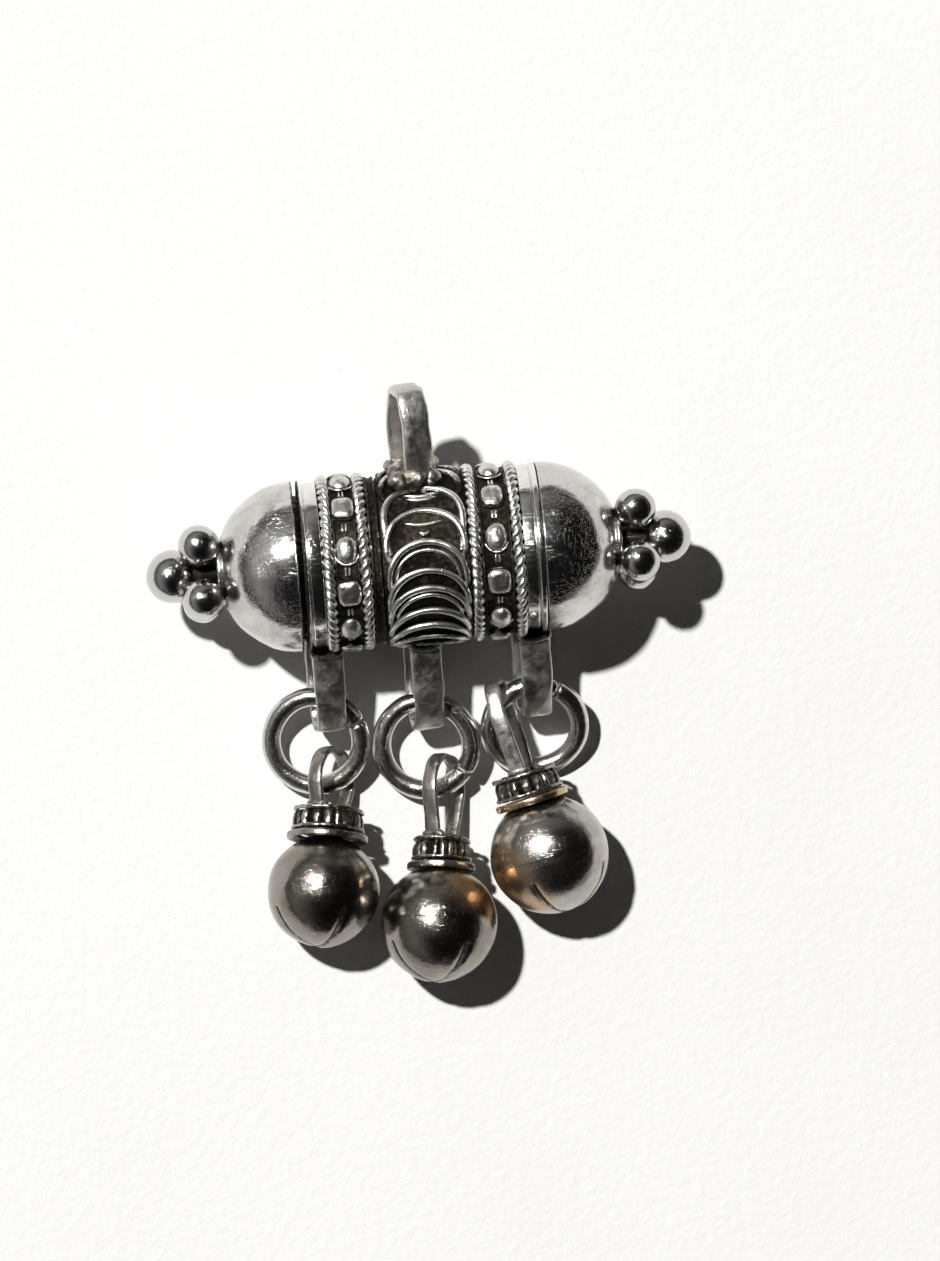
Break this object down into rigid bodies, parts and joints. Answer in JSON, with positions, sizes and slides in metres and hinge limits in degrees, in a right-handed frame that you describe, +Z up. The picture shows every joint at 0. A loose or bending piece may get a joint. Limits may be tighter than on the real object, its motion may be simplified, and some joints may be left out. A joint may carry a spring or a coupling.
{
  "type": "tubular amulet pendant with bells",
  "caption": "Domed silver amulet tube with a strap bail, granulated ends and banded wirework, from which round slit bells hang on jump rings.",
  "frame": {"origin": "bottom centre of the bounding box, on the surface the pendant lies on", "axes": "+Z up out of that surface, +X along the tube towards its soldered end, +Y from the bells towards the bail"},
  "size_m": [0.0492, 0.0544, 0.0161],
  "materials": {
    "polished_silver": "polished silver with fine scratches",
    "worn_silver": "worn silver, bright on the edges and grey in the low places",
    "blackened_silver": "blackened silver",
    "brown_tarnish": "silver with golden brown tarnish",
    "old_paper": "old uncoated paper"
  },
  "bodies": {
    "barrel": {"tube": "worn_silver", "collar_left": "polished_silver", "collar_right": "polished_silver", "rope_outer_left": "worn_silver", "rope_inner_left": "worn_silver", "rope_inner_right": "worn_silver", "rope_outer_right": "worn_silver", "bead_strip_left": "worn_silver", "bead_strip_right": "worn_silver", "edging_strip": "blackened_silver", "scale_field": "blackened_silver", "bail": "worn_silver", "loop_left": "worn_silver", "loop_mid": "worn_silver", "loop_right": "worn_silver", "dome_right": "polished_silver", "neck_right": "blackened_silver", "granule_right_1": "polished_silver", "granule_right_2": "polished_silver", "granule_right_3": "polished_silver", "granule_right_4": "polished_silver", "tip_right": "polished_silver"},
    "cap_left": {"dome_left": "polished_silver", "cap_plug": "worn_silver", "neck_left": "blackened_silver", "granule_left_1": "polished_silver", "granule_left_2": "polished_silver", "granule_left_3": "polished_silver", "granule_left_4": "polished_silver", "tip_left": "polished_silver"},
    "scroll": {"scroll": "old_paper"},
    "ring_left": {"jump_ring_left": "polished_silver"},
    "bell_left": {"bell_upper_left": "worn_silver", "bell_lower_left": "worn_silver", "bell_flange_left": "blackened_silver", "bell_crown_left": "blackened_silver", "bell_hanger_left": "worn_silver"},
    "pellet_left": {"pellet_left": "blackened_silver"},
    "ring_mid": {"jump_ring_mid": "polished_silver"},
    "bell_mid": {"bell_upper_mid": "worn_silver", "bell_lower_mid": "worn_silver", "bell_flange_mid": "blackened_silver", "bell_crown_mid": "blackened_silver", "bell_hanger_mid": "worn_silver"},
    "pellet_mid": {"pellet_mid": "blackened_silver"},
    "ring_right": {"jump_ring_right": "polished_silver"},
    "bell_right": {"bell_upper_right": "worn_silver", "bell_lower_right": "worn_silver", "bell_flange_right": "brown_tarnish", "bell_crown_right": "blackened_silver", "bell_hanger_right": "worn_silver"},
    "pellet_right": {"pellet_right": "blackened_silver"}
  },
  "joints": [
    {"name": "cap_pull", "type": "slide", "parent": "barrel", "child": "cap_left", "axis": [-1, 0, 0], "range_m": [0, 0.012]},
    {"name": "scroll_slide", "type": "slide", "parent": "barrel", "child": "scroll", "axis": [-1, 0, 0], "range_m": [0, 0.003]},
    {"name": "ring_left_swing", "type": "hinge", "parent": "barrel", "child": "ring_left", "pos_m": [-0.01047, -0.0004, 0.00325], "axis": [-1, 0, 0], "range_deg": [0, 40]},
    {"name": "bell_left_swing", "type": "hinge", "parent": "ring_left", "child": "bell_left", "pos_m": [-0.00943, -0.00835, 0.00189], "axis": [-0.9877, 0.1564, 0], "range_deg": [0, 15]},
    {"name": "pellet_left_roll", "type": "hinge", "parent": "bell_left", "child": "pellet_left", "pos_m": [-0.01095, -0.01793, 0.00515], "axis": [0.1536, 0.9695, -0.1908], "range_deg": [-60, 60]},
    {"name": "ring_mid_swing", "type": "hinge", "parent": "barrel", "child": "ring_mid", "pos_m": [-0.00052, -0.00158, 0.00315], "axis": [-1, 0, 0], "range_deg": [0, 40]},
    {"name": "bell_mid_swing", "type": "hinge", "parent": "ring_mid", "child": "bell_mid", "pos_m": [0.00072, -0.0095, 0.00198], "axis": [-0.9925, 0.1219, 0], "range_deg": [0, 15]},
    {"name": "pellet_mid_roll", "type": "hinge", "parent": "bell_mid", "child": "pellet_mid", "pos_m": [-0.00078, -0.02171, 0.0054], "axis": [0.12, 0.9775, -0.1736], "range_deg": [-60, 60]},
    {"name": "ring_right_swing", "type": "hinge", "parent": "barrel", "child": "ring_right", "pos_m": [0.00942, -0.00098, 0.00465], "axis": [-1, 0, 0], "range_deg": [0, 40]},
    {"name": "bell_right_swing", "type": "hinge", "parent": "ring_right", "child": "bell_right", "pos_m": [0.00638, -0.0022, 0.00406], "axis": [-0.9736, -0.2284, 0], "range_deg": [0, 15]},
    {"name": "pellet_right_roll", "type": "hinge", "parent": "bell_right", "child": "pellet_right", "pos_m": [0.00969, -0.01632, 0.00545], "axis": [-0.2283, 0.9734, -0.0175], "range_deg": [-60, 60]}
  ]
}
